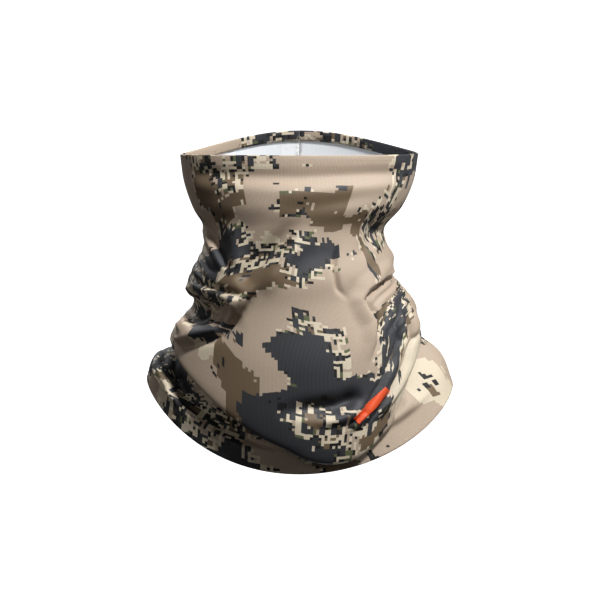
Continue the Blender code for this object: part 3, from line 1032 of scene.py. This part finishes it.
def satinRibbon():
    # A plain woven satin tape, with fine ribs across it and a faint yarn grain along it.
    material, shader, start = startMaterial("satin ribbon", 0.38, sheen=0.15)
    flat = start.node("ShaderNodeUVMap", {"uv_map": "flat"})
    u = start.node("ShaderNodeSeparateXYZ", None, _0=flat)
    v = start.node("ShaderNodeSeparateXYZ", {"output": 1}, _0=flat)
    across = (u * (2 * math.pi / 0.42e-3)).sine()
    along = (v * (2 * math.pi / 0.30e-3)).sine()
    weave = across * 0.35 + along * 0.35 + 0.5
    base = plainColour(start, rgb(228, 227, 221))
    edge = v.size() > label["height"] / 2 - label["selvedge"]
    woven = base.mix(rgb(190, 189, 184), weave * 0.25)
    join(shader, "Base Color", woven.mix(rgb(206, 205, 200), edge))
    addBump(shader, start, weave, 0.25, 0.0001)
    return material


def tackLabel():
    # A row of stitches up the hinge line, in front of the label's root.
    along, across, up = labelFrame()
    count = label["tackStitches"]
    begin = (np.arange(count) / count - 0.47)[:, None] * label["height"] * up
    root = np.array(label["hinge"]) + across * (label["gap"] / 2 + label["ribbon"])
    starts = root + along * label["tackFromRoot"] + begin
    ends = starts + up * label["height"] * label["tackFill"] / count
    normals = np.broadcast_to(across, starts.shape)
    flat = np.zeros((count, 2))
    return stitchRow("care_label_tack_stitches", starts, ends, normals, flat, 0.1 * millimetre)


print("care label")
finishPiece(makeLabel(), "care_label", satinRibbon(), "label")
finishPiece(tackLabel(), "care_label_tack_thread", paleThread)


# The accent bar, a plain film pressed onto the cloth.
bar = {
    "middle": (57.5, -133.5),  # x and z in millimetres, as are the length and width
    "length": 34,
    "width": 6.6,
    "from": -200,  # y, well in front of the cloth
    "tilt": math.radians(41),
    "film": 0.30 * millimetre,
    "gap": 0.20 * millimetre,  # to the cloth's face
    "steps": (56, 12),
}


def makeBar():
    # A slanting strip dropped onto the cloth from the front, point by point.
    quads = gridQuads(*clothGrid.shape[:2])
    tree = BVHTree.FromPolygons(clothGrid.reshape(-1, 3).tolist(), quads.tolist())
    lift = cloth["thickness"] / 2 + bar["film"] / 2 + bar["gap"]
    lengths = np.linspace(-0.5, 0.5, bar["steps"][0] + 1) * bar["length"]
    widths = np.linspace(0.5, -0.5, bar["steps"][1] + 1) * bar["width"]
    grid = np.empty((len(widths), len(lengths), 3))
    for row, width in enumerate(widths):
        for column, length in enumerate(lengths):
            x = bar["middle"][0] + length * math.cos(bar["tilt"]) - width * math.sin(bar["tilt"])
            z = bar["middle"][1] + length * math.sin(bar["tilt"]) + width * math.cos(bar["tilt"])
            start = Vector((x, bar["from"], z)) * millimetre
            hit, normal, _, _ = tree.ray_cast(start, Vector((0, 1, 0)))
            if normal.y > 0:
                normal = -normal
            grid[row, column] = hit + normal * lift
    return meshFromGrid("accent_bar_film", grid, bar["film"])


def accentFilm():
    material, shader, start = startMaterial("accent film", 0.42, coat=0.15)
    place = start.node("ShaderNodeTexCoord", {"output": 3})
    grain = start.node("ShaderNodeTexNoise", None, Vector=place, Scale=900.0, Detail=1.0)
    base = plainColour(start, rgb(222, 92, 48))
    join(shader, "Base Color", base.mix(rgb(190, 70, 34), grain * 0.5))
    addBump(shader, start, grain, 0.15, 0.0001)
    return material


print("accent bar")
finishPiece(makeBar(), "accent_bar", accentFilm())


# The studio: an even pale room, soft lights and the camera.
studio = {
    "floorHeight": -1.6,
    "roomRadius": 6.0,
    "roomHeight": 7.0,
    "aim": (0.0016, 0.0, -0.0593),
    "distance": 1.3667,
    "elevation": math.radians(6),
    "lens": 100,
    "sensorWidth": 36,
    "ambient": 0.05,
    "lights": {  # place, size and power
        "key": ((0.75, -0.9, 1.6), 0.35, 50),
        "fill": ((-1.5, -1.2, 0.6), 1.2, 5),
        "side": ((1.6, -0.3, 0.3), 0.7, 7),
        "top": ((0.1, 0.4, 1.6), 0.9, 9),
        "rear": ((-0.9, 1.6, 0.9), 1.2, 12),
        "under": ((0.0, 0.5, -1.3), 1.0, 3),
    },
}


def addRoom():
    # A wide pale floor and round wall, lit evenly, that throw no light on the cloth.
    height = studio["roomHeight"]
    middle = (0, 0, studio["floorHeight"] + height / 2)
    bpy.ops.mesh.primitive_cylinder_add(
        vertices=96, radius=studio["roomRadius"], depth=height, end_fill_type="NGON", location=middle
    )
    room = bpy.context.object
    room.name = "studio_floor"
    room.visible_diffuse = room.visible_glossy = room.visible_shadow = False
    material, shader, _ = startMaterial("studio floor", 0.9)
    shader.inputs["Base Color"].default_value = (0.92, 0.92, 0.92, 1)
    shader.inputs["Emission Color"].default_value = (1, 1, 1, 1)
    shader.inputs["Emission Strength"].default_value = 1.0
    room.data.materials.append(material)


def addAir():
    # A dim even light from all round.
    world = bpy.data.worlds.new("studio air")
    world.use_nodes = True
    bpy.context.scene.world = world
    background = world.node_tree.nodes["Background"]
    background.inputs["Color"].default_value = (1, 1, 1, 1)
    background.inputs["Strength"].default_value = studio["ambient"]
    bpy.context.scene.view_settings.view_transform = "Standard"
    bpy.context.scene.view_settings.look = "Medium High Contrast"


def addLight(name, place, size, power):
    light = bpy.data.lights.new(name, "AREA")
    light.size, light.energy = size, power
    obj = bpy.data.objects.new(name, light)
    obj.location = place
    toward = Vector(studio["aim"]) - obj.location
    obj.rotation_euler = toward.to_track_quat("-Z", "Y").to_euler()
    bpy.context.scene.collection.objects.link(obj)


def addCamera():
    back = Vector((0, -math.cos(studio["elevation"]), math.sin(studio["elevation"])))
    data = bpy.data.cameras.new("camera")
    data.lens, data.sensor_width = studio["lens"], studio["sensorWidth"]
    camera = bpy.data.objects.new("camera", data)
    camera.location = Vector(studio["aim"]) + back * studio["distance"]
    camera.rotation_euler = (-back).to_track_quat("-Z", "Y").to_euler()
    bpy.context.scene.collection.objects.link(camera)
    bpy.context.scene.camera = camera


print("studio: floor, lights and camera")
addRoom()
addAir()
for lightName, (place, size, power) in studio["lights"].items():
    addLight(lightName, place, size, power)
addCamera()
